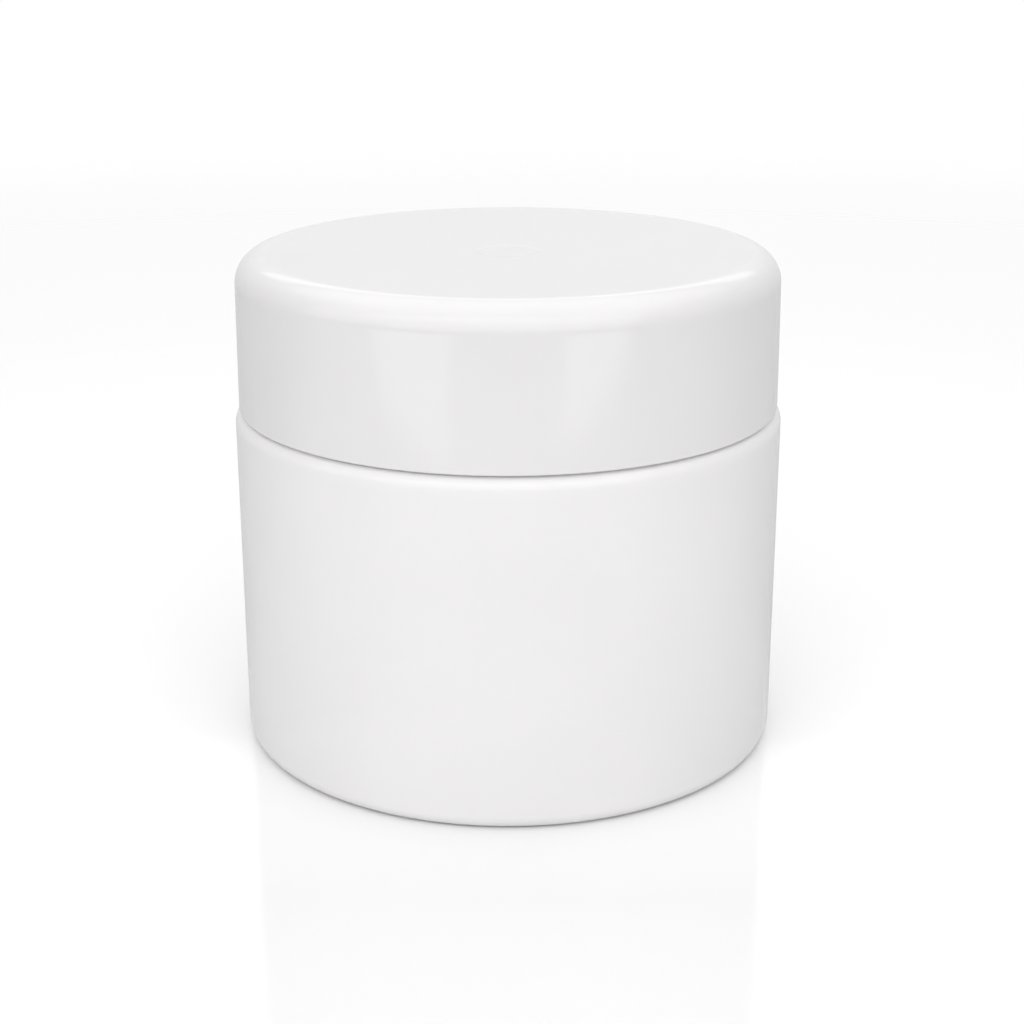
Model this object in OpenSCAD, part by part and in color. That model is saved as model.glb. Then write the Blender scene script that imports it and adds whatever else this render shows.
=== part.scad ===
// Double-wall jar for cream with a screw lid, standing closed on its foot ring.
// +Z is up, the origin is the centre of the base, and all sizes are in millimetres.

/* [Jar] */
// Radius of the jar's outer wall
jar_r = 31; // [26:0.5:45]
// Height of the jar from its foot to the flat of its shoulder
jar_h = 39; // [30:0.5:70]
// Radius of the rounded shoulder
shoulder_fillet = 1.6; // [0.8:0.1:2.2]
// Width of the flat land between the shoulder and the cup's flange
land_w = 1; // [0.6:0.1:1.6]
// Radius of the rounded base edge
base_fillet = 1.6; // [0.8:0.1:3]
// Wall of the outer jar
jar_wall = 1.8; // [1.2:0.1:2.4]
// Thickness of the ledge that carries the cup's flange
ledge_t = 1.4; // [1:0.1:2.4]
// Width of the foot ring's flat
foot_w = 2.6; // [1.5:0.1:6]
// Depth of the recess inside the foot ring
foot_recess = 0.8; // [0.3:0.1:1.5]

/* [Cup] */
// Wall of the inner cup and its neck
cup_wall = 1.6; // [1.2:0.1:2.2]
// Depth of the cup from its rim to its floor
cup_depth = 34; // [20:0.5:44]
// Radius of the round between the cup's wall and floor
cup_fillet = 9; // [3:0.5:14]
// Thickness of the cup's flange
flange_t = 1.2; // [0.9:0.1:2]
// Height of the snap bead under the outer jar's ledge
bead_h = 0.8; // [0.5:0.1:1.4]
// How far the snap bead stands out of the cup's wall
bead_out = 0.6; // [0.3:0.1:1]

/* [Thread] */
// Number of thread starts
starts = 2; // [1:1:3]
// Distance between neighbouring ridges along the axis
pitch = 4; // [3.6:0.1:5]
// Height of a thread ridge over its wall
thread_depth = 1; // [0.7:0.05:1.3]
// Width of a ridge at its root
root_w = 2.1; // [1.6:0.1:2.3]
// Width of a ridge at its crest
crest_w = 1.2; // [0.8:0.1:1.4]
// Play between the two threads along the axis
thread_play = 0.25; // [0.2:0.05:0.4]

/* [Lid] */
// Height of the lid
lid_h = 17.25; // [14:0.25:30]
// Gap between the lid and the shoulder
lid_gap = 0.15; // [0.1:0.05:0.6]
// How far the lid's lower edge stands in from the jar's wall
lid_inset = 0.45; // [0:0.05:1]
// Draft of the lid's outer wall, in degrees
lid_draft = 0.6; // [0:0.1:1.5]
// Radius of the rounded top edge
lid_fillet = 3.2; // [2:0.1:5]
// Radius of the lid's lower outer edge
lid_edge = 0.25; // [0.1:0.05:0.5]
// Depth of the dish in the lid's top
dish = 0.4; // [0.1:0.05:0.8]
// Radius of the round moulding mark in the lid's top
mark_r = 3.5; // [2:0.1:6]
// Depth of the moulding mark
mark_depth = 0.1; // [0.05:0.05:0.3]
// Wall of the lid shell where it is thinnest
lid_wall = 1.2; // [1:0.1:1.6]
// Thickness of the lid shell's top
lid_top_t = 1.4; // [1:0.1:2]
// Wall of the threaded insert
insert_wall = 1.1; // [0.8:0.1:1.4]
// How far the insert's lower edge stands up inside the shell
insert_up = 1; // [0.6:0.1:2]
// Space between the shell and the insert's wall
rib_gap = 0.75; // [0.5:0.05:1]
// Height of the ribs under the lid shell's top
top_rib_h = 0.8; // [0.5:0.1:2]
// Number of ribs round the insert
rib_n = 24; // [12:1:36]
// Number of radial ribs under the lid shell's top
top_rib_n = 8; // [4:1:16]
// Width of every rib
rib_w = 0.8; // [0.5:0.1:1.2]
// Depth of the snap groove in the shell
snap = 0.25; // [0.15:0.05:0.35]

/* [Seal] */
// Thickness of the foam liner
liner_t = 1.2; // [0.8:0.1:2]
// Thickness of the sealing disc
disc_t = 0.8; // [0.6:0.1:1.2]
// How far the disc's rim stands in from the outside of the neck
disc_inset = 0.4; // [0.2:0.1:0.8]
// Depth of the disc's plug under the neck's rim
plug_depth = 2.9; // [2.6:0.1:4]
// Depth of the recess in the disc's top
disc_recess = 1.9; // [1.6:0.1:2.4]
// Width of the pull tab
tab_w = 13; // [9:0.5:18]
// Length of the pull tab from its hinge line to its tip
tab_l = 15; // [10:0.5:18]
// Thickness of the pull tab
tab_t = 0.8; // [0.6:0.1:1]
// Length of the raised bar that the tab hangs from
bar_l = 2; // [1.2:0.1:3]

/* [Fits] */
// Radial clearance between a thread's crest and the wall it faces
crest_gap = 0.3; // [0.2:0.05:0.5]
// Clearance between pieces that are pressed or snapped together
snug = 0.05; // [0.02:0.01:0.1]
// Gap between faces of pieces that move apart
play = 0.1; // [0.05:0.05:0.15]

/* [Hidden] */
$fn = 120;
soft = 0.4;          // radius of small softened edges
sunk = 0.3;          // how far ridges and ribs are sunk into their walls
step = 7.5;          // angle of one step along a thread
run_out = 3;         // steps over which a ridge rises out of its wall
ridge_h = 0.2;       // height of the pull tab's grip ridges
ridge_n = 3;         // number of grip ridges
ridge_gap = 1.8;     // distance between grip ridges
dish_n = 12;         // steps from the dish's centre to its edge

// Heights, from the lid's top down to the cup's floor
lid_z = jar_h + lid_gap;
lid_top = lid_z + lid_h;
dish_z = lid_top - dish;
shell_ceiling = dish_z - lid_top_t;
insert_top = shell_ceiling - top_rib_h;
insert_ceiling = insert_top - insert_wall;
insert_z = lid_z + insert_up;
liner_top = insert_ceiling - play;
liner_z = liner_top - liner_t;
disc_top = liner_z - play;
disc_z = disc_top - disc_t;
neck_top = disc_z - play;
plate_top = disc_top - disc_recess;
plate_z = plate_top - disc_t;
plug_z = neck_top - plug_depth;
ledge_top = jar_h - flange_t;
ledge_z = ledge_top - ledge_t;
bead_z = ledge_z - snug - bead_h;
jar_floor = foot_recess + jar_wall;
cup_floor = neck_top - cup_depth;

// Radii, from the lid's outer wall inwards
lid_r = jar_r - lid_inset;
shell_r = lid_r - lid_h * tan(lid_draft) - lid_wall;
insert_r = shell_r - rib_gap;
insert_bore = insert_r - insert_wall;
neck_r = insert_bore - crest_gap - thread_depth;
cup_bore = neck_r - cup_wall;
insert_flange_r = shell_r + snap - snug;
flange_r = jar_r - shoulder_fillet - land_w;
ledge_r = neck_r + play;
cavity_r = jar_r - jar_wall;
foot_r = jar_r - base_fillet - foot_w;
disc_r = neck_r - disc_inset;
plug_r = cup_bore - play;
recess_r = plug_r - disc_t;
liner_r = insert_bore - play;

// Thread: one helix on the neck and, lower by thread_drop, its mate in the insert
lead = starts * pitch;
slope = (root_w - crest_w) / 2 / thread_depth;
facing_w = root_w + crest_w - 2 * slope * crest_gap;
thread_drop = facing_w / 2 + thread_play;
thread_lo = jar_h + root_w / 2 + soft + 1;
thread_hi = neck_top - root_w / 2 - 0.8;
mate_lo = insert_z + root_w / 2 + 0.3;
thread_end = (thread_hi - thread_lo) / lead * 360;
mate_start = (mate_lo - (thread_lo - thread_drop)) / lead * 360;

// Lid's outer wall: its distance from the axis, and the centres of its two edge rounds
wall_d = lid_r * cos(lid_draft) + lid_z * sin(lid_draft);
function round_x(r, z) = (wall_d - r - z * sin(lid_draft)) / cos(lid_draft);
function on_wall(r, x, z) = [x + r * cos(lid_draft), z + r * sin(lid_draft)];
top_round = [round_x(lid_fillet, lid_top - lid_fillet), lid_top - lid_fillet];
edge_round = [round_x(lid_edge, lid_z + lid_edge), lid_z + lid_edge];

// Dish in the lid's top: where it leaves the edge round, and its height at radius r
dish_tilt = atan(2 * dish / top_round[0]);
dish_edge = top_round + lid_fillet * [-sin(dish_tilt), cos(dish_tilt)];
function dish_at(r) = [r, dish_z + (dish_edge[1] - dish_z) * (r / dish_edge[0]) ^ 2];

// Pull tab's hinge line
tab_y = -tab_l / 2;
tab_z = plate_top + play + tab_t / 2;

// Section of a ring from radius a to b and from height lo to hi
module band(a, b, lo, hi) { translate([a, lo]) square([b - a, hi - lo]); }

// Section of a round slab with its upper and lower edges rounded
module slab(r, lo, hi, top_round, base_round) {
    band(0, r, lo + base_round, hi - top_round);
    band(0, r - top_round, hi - top_round, hi);
    band(0, r - base_round, lo, lo + base_round);
    translate([r - top_round, hi - top_round]) circle(top_round);
    translate([r - base_round, lo + base_round]) circle(base_round);
}

// Cross-section of a thread ridge at angle a, whose crest stands h over a wall at radius r
function ridge_at(r, side, h, a, z) =
    let (base = [r - side * sunk, root_w / 2 + slope * sunk],
         tip = [r + side * h, root_w / 2 - slope * h],
         near = side > 0 ? base : tip,
         far = side > 0 ? tip : base)
    [for (p = [[near[0], -near[1]], [far[0], -far[1]], far, near])
        [p[0] * cos(a), p[0] * sin(a), z + p[1]]];

// Helical ridge on a wall at radius r, outwards where side is 1 and inwards where it is -1
module ridge(r, side, z, from, to) {
    n = floor((to - from) / step);
    rise = thread_depth + sunk / 2;
    points = [for (i = [0:n]) each ridge_at(r, side, rise * min(1, i / run_out, (n - i) / run_out) - sunk / 2,
                                            from + i * step, z + lead * (from + i * step) / 360)];
    sides = [for (i = [0:n - 1], j = [0:3])
        let (a = 4 * i + j, b = 4 * i + (j + 1) % 4) each [[a, b, b + 4], [a, b + 4, a + 4]]];
    polyhedron(points, concat([[3, 2, 1, 0], [4 * n, 4 * n + 1, 4 * n + 2, 4 * n + 3]], sides));
}

module thread(r, side, z, from, to) {
    for (k = [0:starts - 1]) rotate(360 * k / starts) ridge(r, side, z, from, to);
}

module outer_jar() {
    color("white") rotate_extrude() {
        difference() {
            slab(jar_r, 0, jar_h, shoulder_fillet, base_fillet);
            slab(cavity_r, jar_floor, ledge_z, soft, base_fillet);
            band(0, ledge_r, jar_floor + base_fillet, jar_h + 1);
            band(0, flange_r + snug, ledge_top, jar_h + 1);
            band(0, foot_r, -1, foot_recess);
        }
    }
}

module inner_cup() {
    color("whitesmoke") {
        rotate_extrude() difference() {
            union() {
                slab(neck_r, cup_floor - cup_wall, neck_top, soft, cup_fillet + cup_wall);
                band(0, flange_r, ledge_top, jar_h);
                band(0, neck_r + bead_out, bead_z, bead_z + bead_h);
            }
            slab(cup_bore, cup_floor, neck_top + cup_fillet, soft, cup_fillet);
        }
        thread(neck_r, 1, thread_lo, 0, thread_end);
    }
}

module sealing_disc() {
    color("gainsboro") {
        rotate_extrude() difference() {
            union() {
                slab(disc_r, disc_z, disc_top, disc_t / 3, disc_t / 3);
                band(0, plug_r, plug_z, disc_top - disc_t / 3);
            }
            band(0, recess_r, plate_top, disc_top + 1);
            band(0, recess_r, plug_z - 1, plate_z);
        }
        translate([-tab_w / 2, tab_y - tab_t / 2 - play - bar_l, plate_top - sunk])
            cube([tab_w, bar_l, sunk + play + tab_t]);
    }
}

module pull_tab() {
    tip_r = tab_w / 2;
    tip_y = tab_y + tab_l - tip_r;
    color("gainsboro") {
        translate([-tab_w / 2, tab_y, tab_z]) rotate([0, 90, 0]) cylinder(h = tab_w, r = tab_t / 2);
        translate([-tab_w / 2, tab_y, tab_z - tab_t / 2]) cube([tab_w, tip_y - tab_y, tab_t]);
        translate([0, tip_y, tab_z - tab_t / 2]) cylinder(h = tab_t, r = tip_r);
        for (i = [0:ridge_n - 1]) translate([-tab_w / 4, tip_y + (i - 0.5) * ridge_gap, tab_z])
            cube([tab_w / 2, ridge_gap / 3, tab_t / 2 + ridge_h]);
    }
}

module lid_liner() {
    color("white") rotate_extrude() slab(liner_r, liner_z, liner_top, liner_t / 6, liner_t / 6);
}

module lid_insert() {
    color("whitesmoke") {
        rotate_extrude() difference() {
            union() {
                slab(insert_r, insert_z, insert_top, soft, soft);
                band(0, insert_flange_r, insert_z, insert_z + insert_wall);
            }
            band(0, insert_bore, insert_z - 1, insert_ceiling);
        }
        thread(insert_bore, -1, thread_lo - thread_drop, mate_start, thread_end);
        for (k = [0:rib_n - 1]) rotate(360 * k / rib_n)
            translate([insert_r - sunk, -rib_w / 2, insert_z + insert_wall / 2])
                cube([sunk + rib_gap - snug, rib_w, insert_ceiling - insert_z - insert_wall]);
    }
}

module lid_shell() {
    inner_round = lid_fillet - lid_wall;
    color("white") {
        rotate_extrude() {
            difference() {
                union() {
                    polygon(concat(
                        [[0, lid_z], [edge_round[0], lid_z], on_wall(lid_edge, edge_round[0], edge_round[1]),
                         on_wall(lid_fillet, top_round[0], top_round[1])],
                        [for (i = [dish_n:-1:0]) dish_at(dish_edge[0] * i / dish_n)]));
                    translate(top_round) circle(lid_fillet);
                    translate(edge_round) circle(lid_edge);
                }
                slab(shell_r, lid_z - 2, shell_ceiling, inner_round, soft);
                band(shell_r - 1, shell_r + snap, insert_z - snug, insert_z + insert_wall + snug);
                band(0, mark_r, dish_z - mark_depth, lid_top);
            }
            for (r = [shell_r * 0.4, shell_r * 0.8])
                band(r - rib_w / 2, r + rib_w / 2, insert_top, shell_ceiling + sunk);
        }
        for (k = [0:top_rib_n - 1]) rotate(360 * k / top_rib_n)
            translate([shell_r * 0.4, -rib_w / 2, insert_top])
                cube([shell_r * 0.4, rib_w, top_rib_h + sunk]);
    }
}

outer_jar();
inner_cup();
sealing_disc();
pull_tab();
lid_liner();
lid_insert();
lid_shell();
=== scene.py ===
"""Builds the visible pieces of a double-wall cream jar with a screw lid round its CAD frame.

Every piece is drawn at its real place in metres, with the jar's axis on Z and its foot on the plane z = 0.
"""

import logging
import math
from collections.abc import Callable
from dataclasses import dataclass, field
from enum import Enum

import bmesh
import bpy
from mathutils import Matrix, Vector


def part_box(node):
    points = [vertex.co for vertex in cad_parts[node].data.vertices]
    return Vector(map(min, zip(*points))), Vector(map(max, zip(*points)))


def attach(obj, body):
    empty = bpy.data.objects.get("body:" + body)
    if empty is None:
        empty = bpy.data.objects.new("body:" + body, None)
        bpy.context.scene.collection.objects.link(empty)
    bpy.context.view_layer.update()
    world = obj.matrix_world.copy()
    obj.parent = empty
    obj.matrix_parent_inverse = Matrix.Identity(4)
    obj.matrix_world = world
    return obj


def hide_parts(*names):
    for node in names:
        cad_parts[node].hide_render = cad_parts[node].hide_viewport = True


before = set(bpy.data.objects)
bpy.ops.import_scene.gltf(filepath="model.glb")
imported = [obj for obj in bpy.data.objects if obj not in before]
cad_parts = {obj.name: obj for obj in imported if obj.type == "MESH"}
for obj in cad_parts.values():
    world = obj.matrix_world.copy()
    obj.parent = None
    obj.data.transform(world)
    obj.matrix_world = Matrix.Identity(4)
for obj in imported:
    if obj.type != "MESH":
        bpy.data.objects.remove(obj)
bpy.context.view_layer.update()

Object = bpy.types.Object
Material = bpy.types.Material
Tree = bpy.types.NodeTree
Socket = bpy.types.NodeSocket
Pair = tuple[float, float]
Triple = tuple[float, float, float]

MM = 0.001
MICRON = 1e-6
TURN_STEPS = 192
WELD = 1e-7
SHARP_DEGREES = 32.0
FACE_WEIGHT = 50
NOISE_SPAN = (0.3, 0.7)
LOG = logging.getLogger("cream_jar")


class Plane(Enum):
    """Plane that a pen draws in: a half section (across, up) or a plan (across, along)."""

    SECTION = "section"
    PLAN = "plan"


class Pen:
    """Draws one chain of edges with the vertex tools, as a draughtsman's pen would.

    The chain starts from a small square that is merged to a point. Straight runs are extruded from its end, and
    round runs are spun from it.
    """

    def __init__(self, name: str, x: float, y: float, plane: Plane = Plane.SECTION, level: float = 0.0) -> None:
        """Puts the pen down.

        Args:
            name: name of the piece that the chain becomes.
            x: distance across, which is the radius in a section.
            y: distance up in a section, or along in a plan.
            plane: plane that the chain lies in.
            level: height of a plan.
        """
        self.plane = plane
        self.level = level
        self.here = (x, y)
        clear_selection()
        bpy.ops.mesh.primitive_plane_add(size=MM, location=self._place(x, y))
        self.piece = bpy.context.object
        self.piece.name = name
        self.piece.data.name = name
        bpy.ops.object.transform_apply(location=True, rotation=True, scale=True)
        bpy.ops.object.mode_set(mode="EDIT")
        bpy.ops.mesh.select_mode(type="VERT")
        bpy.ops.mesh.select_all(action="SELECT")
        bpy.ops.mesh.merge(type="CENTER")

    def _place(self, x: float, y: float) -> Triple:
        """Returns the point in space of a point in the pen's plane."""
        return (x, 0.0, y) if self.plane is Plane.SECTION else (x, y, self.level)

    def line(self, x: float, y: float) -> "Pen":
        """Draws a straight edge.

        Args:
            x: across, where it ends.
            y: up or along, where it ends.

        Returns:
            The pen, so that strokes can follow one another.
        """
        step = Vector(self._place(x, y)) - Vector(self._place(*self.here))
        bpy.ops.mesh.extrude_vertices_move(TRANSFORM_OT_translate={"value": tuple(step)})
        self.here = (x, y)
        return self

    def arc(self, x: float, y: float, degrees: float, steps: int = 8) -> "Pen":
        """Draws an arc from the pen's place.

        Args:
            x: across, of the arc's centre.
            y: up or along, of the arc's centre.
            degrees: angle that it covers, counter-clockwise where positive.
            steps: number of edges.

        Returns:
            The pen.
        """
        section = self.plane is Plane.SECTION
        bpy.ops.mesh.spin(
            steps=steps,
            angle=math.radians(degrees if section else -degrees),
            center=self._place(x, y),
            axis=(0, 1, 0) if section else (0, 0, 1),
        )
        turn = math.radians(degrees)
        dx, dy = self.here[0] - x, self.here[1] - y
        self.here = (
            x + dx * math.cos(turn) - dy * math.sin(turn),
            y + dx * math.sin(turn) + dy * math.cos(turn),
        )
        return self

    def close(self) -> "Pen":
        """Joins the chain's end to its start.

        Returns:
            The pen.
        """
        bpy.ops.mesh.select_all(action="SELECT")
        bpy.ops.mesh.remove_doubles(threshold=WELD)
        ends = [v for v in bmesh.from_edit_mesh(self.piece.data).verts if len(v.link_edges) == 1]
        if ends:
            bpy.ops.mesh.select_all(action="DESELECT")
            for v in ends:
                v.select = True
            bmesh.update_edit_mesh(self.piece.data)
            bpy.ops.mesh.edge_face_add()
        return self

    def turned(self) -> Object:
        """Spins the section right round the jar's axis.

        Returns:
            The turned piece, closed and with its faces outwards.
        """
        bpy.ops.mesh.select_all(action="SELECT")
        bpy.ops.mesh.spin(steps=TURN_STEPS, angle=math.tau, center=(0, 0, 0), axis=(0, 0, 1))
        return self.done()

    def raised(self, height: float) -> Object:
        """Fills the plan and extrudes it upwards.

        Args:
            height: thickness of the piece.

        Returns:
            The raised piece.
        """
        bpy.ops.mesh.select_all(action="SELECT")
        bpy.ops.mesh.edge_face_add()
        bpy.ops.mesh.extrude_region_move(TRANSFORM_OT_translate={"value": (0, 0, height)})
        return self.done()

    def done(self) -> Object:
        """Merges doubles, turns the faces outwards and leaves edit mode.

        Returns:
            The piece.
        """
        bpy.ops.mesh.select_all(action="SELECT")
        bpy.ops.mesh.remove_doubles(threshold=WELD)
        bpy.ops.mesh.normals_make_consistent(inside=False)
        bpy.ops.object.mode_set(mode="OBJECT")
        return self.piece


def clear_selection() -> None:
    """Deselects everything, so that an operator acts only on what is added next."""
    for item in bpy.context.selected_objects:
        item.select_set(False)


def take(piece: Object) -> None:
    """Makes one piece the active and only selected one.

    Args:
        piece: the piece to work on.
    """
    clear_selection()
    piece.select_set(True)
    bpy.context.view_layer.objects.active = piece


def shaped(piece: Object, kind: str, **settings: object) -> Object:
    """Applies one modifier to a piece.

    Args:
        piece: the piece.
        kind: Blender's name of the modifier.
        settings: values of its properties.

    Returns:
        The piece.
    """
    take(piece)
    change = piece.modifiers.new(kind, kind)
    for label, value in settings.items():
        setattr(change, label, value)
    bpy.ops.object.modifier_apply(modifier=change.name)
    return piece


def fused(piece: Object, *others: Object) -> Object:
    """Unites other pieces with a piece, and removes them.

    Args:
        piece: the piece that stays.
        others: closed pieces that reach into it.

    Returns:
        The united piece.
    """
    for other in others:
        shaped(piece, "BOOLEAN", operation="UNION", solver="EXACT", object=other)
        bpy.data.objects.remove(other)
    return piece


def select_points(piece: Object, wanted: Callable[[Vector], bool]) -> None:
    """Selects points of the piece in edit mode, and with them the edges and faces that they bound.

    Args:
        piece: the piece being edited.
        wanted: says of a place whether its point is selected.
    """
    mesh = bmesh.from_edit_mesh(piece.data)
    bpy.ops.mesh.select_all(action="DESELECT")
    for v in mesh.verts:
        v.select = wanted(v.co)
    mesh.select_flush(True)
    bmesh.update_edit_mesh(piece.data)


def edit(piece: Object, wanted: Callable[[Vector], bool]) -> None:
    """Opens a piece in edit mode with some of its edges selected.

    Args:
        piece: the piece.
        wanted: says of an edge's middle whether both its ends are to be selected.
    """
    take(piece)
    bpy.ops.object.mode_set(mode="EDIT")
    bpy.ops.mesh.select_mode(type="VERT")
    select_points(piece, wanted)


def softened(piece: Object, width: float, degrees: float = 40.0) -> Object:
    """Rounds a piece's sharp edges.

    Args:
        piece: the piece.
        width: width of the rounding.
        degrees: edges that turn by less than this are left.

    Returns:
        The piece.
    """
    return shaped(piece, "BEVEL", width=width, segments=3, limit_method="ANGLE", angle_limit=math.radians(degrees))


def finished(piece: Object) -> Object:
    """Gives a piece smooth shading whose large faces stay true.

    Args:
        piece: the closed piece.

    Returns:
        The piece.
    """
    take(piece)
    bpy.ops.object.shade_smooth_by_angle(angle=math.radians(SHARP_DEGREES))
    return shaped(piece, "WEIGHTED_NORMAL", keep_sharp=True, weight=FACE_WEIGHT)


def block(name: str, low: Triple, high: Triple) -> Object:
    """Adds a block between two corners.

    Args:
        name: name of the piece.
        low: its lowest corner.
        high: its highest corner.

    Returns:
        The block, with its place in its mesh.
    """
    middle = (Vector(low) + Vector(high)) / 2
    clear_selection()
    bpy.ops.mesh.primitive_cube_add(size=1, location=middle)
    piece = bpy.context.object
    piece.name = name
    piece.dimensions = Vector(high) - Vector(low)
    bpy.ops.object.transform_apply(location=True, rotation=True, scale=True)
    return piece


def twin_of(piece: Object) -> Object:
    """Copies a piece with a mesh of its own.

    Args:
        piece: the piece.

    Returns:
        The copy, in the same place.
    """
    twin = piece.copy()
    twin.data = piece.data.copy()
    bpy.context.collection.objects.link(twin)
    return twin


def ringed(piece: Object, count: int, turn: float = 0.0) -> list[Object]:
    """Copies a piece round the axis, each copy with its own mesh.

    Args:
        piece: the first piece.
        count: number of pieces in the ring, the first among them.
        turn: plan angle of the first.

    Returns:
        All the pieces.
    """
    made = [piece, *(twin_of(piece) for _ in range(1, count))]
    for place, item in enumerate(made):
        item.rotation_euler.z = math.radians(turn + 360 * place / count)
        take(item)
        bpy.ops.object.transform_apply(location=False, rotation=True, scale=False)
    return made


def joined(pieces: list[Object]) -> Object:
    """Joins pieces into one object.

    Args:
        pieces: pieces that stay clear of one another.

    Returns:
        The joined object.
    """
    take(pieces[0])
    for item in pieces[1:]:
        item.select_set(True)
    bpy.ops.object.join()
    return pieces[0]


@dataclass(frozen=True)
class SurfaceGroups:
    """Node groups that several finishes share."""

    skin: Tree
    cells: Tree


def new_group(name: str, inputs: dict[str, float], outputs: tuple[str, ...]) -> Tree:
    """Starts a shader node group that is driven by one vector.

    Args:
        name: the group's name.
        inputs: its number inputs with their usual values.
        outputs: its number outputs.

    Returns:
        The group, with its two interface nodes named in and out.
    """
    group = bpy.data.node_groups.new(name, "ShaderNodeTree")
    face = group.interface
    face.new_socket("Vector", in_out="INPUT", socket_type="NodeSocketVector")
    for label, value in inputs.items():
        face.new_socket(label, in_out="INPUT", socket_type="NodeSocketFloat").default_value = value
    for label in outputs:
        face.new_socket(label, in_out="OUTPUT", socket_type="NodeSocketFloat")
    group.nodes.new("NodeGroupInput").name = "in"
    group.nodes.new("NodeGroupOutput").name = "out"
    return group


def preset(node: bpy.types.Node, values: dict[str, object]) -> None:
    """Sets a node's unlinked inputs.

    Args:
        node: the node.
        values: the inputs' labels and values.
    """
    for label, value in values.items():
        node.inputs[label].default_value = value


def maths(tree: Tree, operation: str, first: object, second: object) -> Socket:
    """Adds a maths node.

    Args:
        tree: the node tree.
        operation: Blender's name of the operation.
        first: a socket or a number.
        second: a socket or a number.

    Returns:
        The result's socket.
    """
    node = tree.nodes.new("ShaderNodeMath")
    node.operation = operation
    for slot, value in zip(node.inputs, (first, second)):
        if isinstance(value, Socket):
            tree.links.new(value, slot)
        else:
            slot.default_value = value
    return node.outputs[0]


def noise(tree: Tree, vector: object, scale: object, detail: float) -> Socket:
    """Adds a noise texture.

    Args:
        tree: the node tree.
        vector: socket of its coordinates.
        scale: socket or number, in cells per metre.
        detail: octaves over the first.

    Returns:
        The noise's value, about 0.5 on average.
    """
    node = tree.nodes.new("ShaderNodeTexNoise")
    tree.links.new(vector, node.inputs["Vector"])
    if isinstance(scale, Socket):
        tree.links.new(scale, node.inputs["Scale"])
    else:
        node.inputs["Scale"].default_value = scale
    node.inputs["Detail"].default_value = detail
    return node.outputs["Fac"]


def skin_group() -> Tree:
    """Builds the group for a moulded plastic skin: slow flow waves, fine mould grain and uneven gloss.

    Returns:
        The group. Height is in units of the bump's distance; Gloss and Tone run from 0 to 1.
    """
    group = new_group(
        "moulded_skin",
        {"Wave Scale": 60.0, "Wave Depth": 1.0, "Grain Scale": 1400.0, "Grain Depth": 0.05},
        ("Height", "Gloss", "Tone"),
    )
    start, end = group.nodes["in"], group.nodes["out"]
    vector = start.outputs["Vector"]
    wave = noise(group, vector, start.outputs["Wave Scale"], 1.0)
    grain = noise(group, vector, start.outputs["Grain Scale"], 2.0)
    height = maths(
        group,
        "ADD",
        maths(group, "MULTIPLY", wave, start.outputs["Wave Depth"]),
        maths(group, "MULTIPLY", grain, start.outputs["Grain Depth"]),
    )
    group.links.new(height, end.inputs["Height"])
    for label, cells_per_metre in (("Gloss", 140.0), ("Tone", 60.0)):
        group.links.new(noise(group, vector, cells_per_metre, 3.0), end.inputs[label])
    return group


def cells_group() -> Tree:
    """Builds the group for a foam skin: closed cells of two sizes.

    Returns:
        The group. Height runs from 0 in the cell walls to 1 in their middles; Tone is uneven from cell to cell.
    """
    group = new_group("foam_cells", {"Cell Scale": 1500.0}, ("Height", "Tone"))
    start, end = group.nodes["in"], group.nodes["out"]
    sizes = []
    for times in (1.0, 0.45):
        cells = group.nodes.new("ShaderNodeTexVoronoi")
        cells.feature = "F1"
        group.links.new(start.outputs["Vector"], cells.inputs["Vector"])
        group.links.new(maths(group, "MULTIPLY", start.outputs["Cell Scale"], times), cells.inputs["Scale"])
        sizes.append(cells)
    height = maths(group, "ADD", sizes[0].outputs["Distance"], sizes[1].outputs["Distance"])
    group.links.new(maths(group, "SUBTRACT", 1.0, height), end.inputs["Height"])
    split = group.nodes.new("ShaderNodeSeparateColor")
    group.links.new(sizes[1].outputs["Color"], split.inputs["Color"])
    group.links.new(split.outputs["Red"], end.inputs["Tone"])
    return group


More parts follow.
